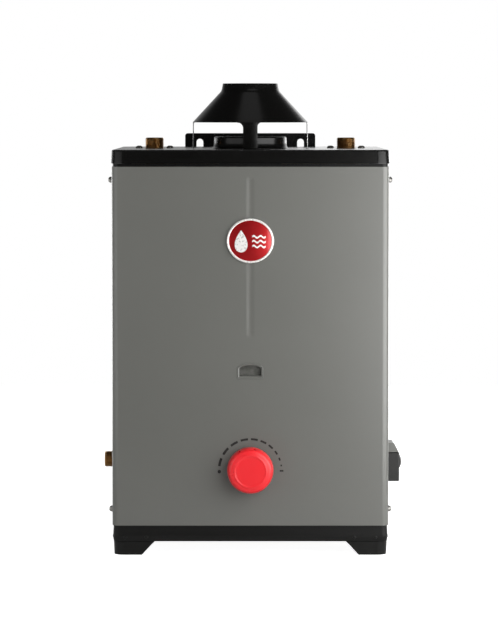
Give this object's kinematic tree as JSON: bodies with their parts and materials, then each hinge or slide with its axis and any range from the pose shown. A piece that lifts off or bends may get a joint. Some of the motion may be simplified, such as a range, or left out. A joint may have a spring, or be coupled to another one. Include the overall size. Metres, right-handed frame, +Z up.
{
  "type": "tank water heater",
  "caption": "Compact box-shaped gas tank water heater with a conical draft hood, top pipe nipples, front control knob, side push igniter and short sheet legs.",
  "frame": {"origin": "on the floor, in the heater's plane of symmetry, under the middle of its overall box; the jacket's middle is 10.8 mm behind it because the knob stands out of the front", "axes": "+Z up, the control panel faces -Y, +X is to the right as seen from the front"},
  "size_m": [0.42, 0.4008, 0.6491],
  "materials": {
    "grey_paint": "satin baked enamel, warm grey",
    "black_enamel": "gloss black porcelain-like enamel",
    "red_plastic": "gloss red moulded plastic",
    "badge_red": "gloss red domed resin",
    "black_plastic": "fine-textured black moulded plastic",
    "white_plastic": "translucent white plastic",
    "ceramic": "glazed white ceramic",
    "lead_rubber": "black silicone sleeve",
    "brass": "machined brass, lightly tarnished",
    "copper": "drawn copper tube",
    "plated_steel": "zinc-plated steel",
    "bare_steel": "plain rolled steel",
    "stainless": "stainless sheet, heat-tinted",
    "chrome": "bright plated rim",
    "magnesium": "cast magnesium",
    "glass_wool": "glass-fibre blanket",
    "mica": "smoky mica sheet"
  },
  "bodies": {
    "heater_body": {"anode_rod": "magnesium", "badge_bezel": "chrome", "badge_plate": "badge_red", "base_frame": "black_enamel", "base_plate": "black_enamel", "burner_supply_tube": "copper", "burner_support_bar": "stainless", "cold_inlet_nipple": "brass", "dip_tube": "white_plastic", "draft_hood": "black_enamel", "flue_baffle": "bare_steel", "flue_collar": "black_enamel", "flue_tube": "bare_steel", "gas_control_valve": "plated_steel", "gas_inlet_locknut": "brass", "gas_inlet_nipple": "brass", "gas_orifice": "brass", "gas_supply_tube": "copper", "heat_shield": "stainless", "hot_outlet_nipple": "brass", "igniter_electrode": "ceramic", "igniter_hood": "grey_paint", "igniter_housing": "black_plastic", "igniter_lead": "lead_rubber", "igniter_locknut": "brass", "insulation_top_pad": "glass_wool", "insulation_wrap": "glass_wool", "jacket_wrap": "grey_paint", "leg_front_left": "black_enamel", "leg_front_right": "black_enamel", "leg_rear_left": "black_enamel", "leg_rear_right": "black_enamel", "lid": "black_enamel", "lid_screw_left_inner": "plated_steel", "lid_screw_left_outer": "plated_steel", "lid_screw_right_inner": "plated_steel", "lid_screw_right_outer": "plated_steel", "main_burner": "stainless", "pilot_bracket": "stainless", "pilot_burner": "brass", "pilot_gas_tube": "copper", "plunger_spring": "plated_steel", "rear_panel": "grey_paint", "side_screw_left_lower": "plated_steel", "side_screw_left_upper": "plated_steel", "side_screw_right_lower": "plated_steel", "side_screw_right_upper": "plated_steel", "sight_window_frame": "grey_paint", "sight_window_pane": "mica", "tank_shell": "bare_steel", "thermocouple": "copper", "thermostat_probe": "copper", "top_frame": "black_enamel", "wall_bracket": "black_enamel"},
    "plunger": {"valve_plunger": "brass"},
    "knob": {"control_knob": "red_plastic", "knob_stem": "plated_steel"},
    "igniter_push": {"igniter_button": "black_plastic"}
  },
  "joints": [
    {"name": "knob_push", "type": "slide", "parent": "heater_body", "child": "plunger", "axis": [0, 1, 0], "range_m": [0, 0.005], "stiffness_N_per_m": 600},
    {"name": "knob_turn", "type": "hinge", "parent": "plunger", "child": "knob", "pos_m": [0, -0.1892, 0.1185], "axis": [0, 1, 0], "range_deg": [0, 180]},
    {"name": "igniter_press", "type": "slide", "parent": "heater_body", "child": "igniter_push", "axis": [-1, 0, 0], "range_m": [0, 0.004], "stiffness_N_per_m": 1200}
  ]
}
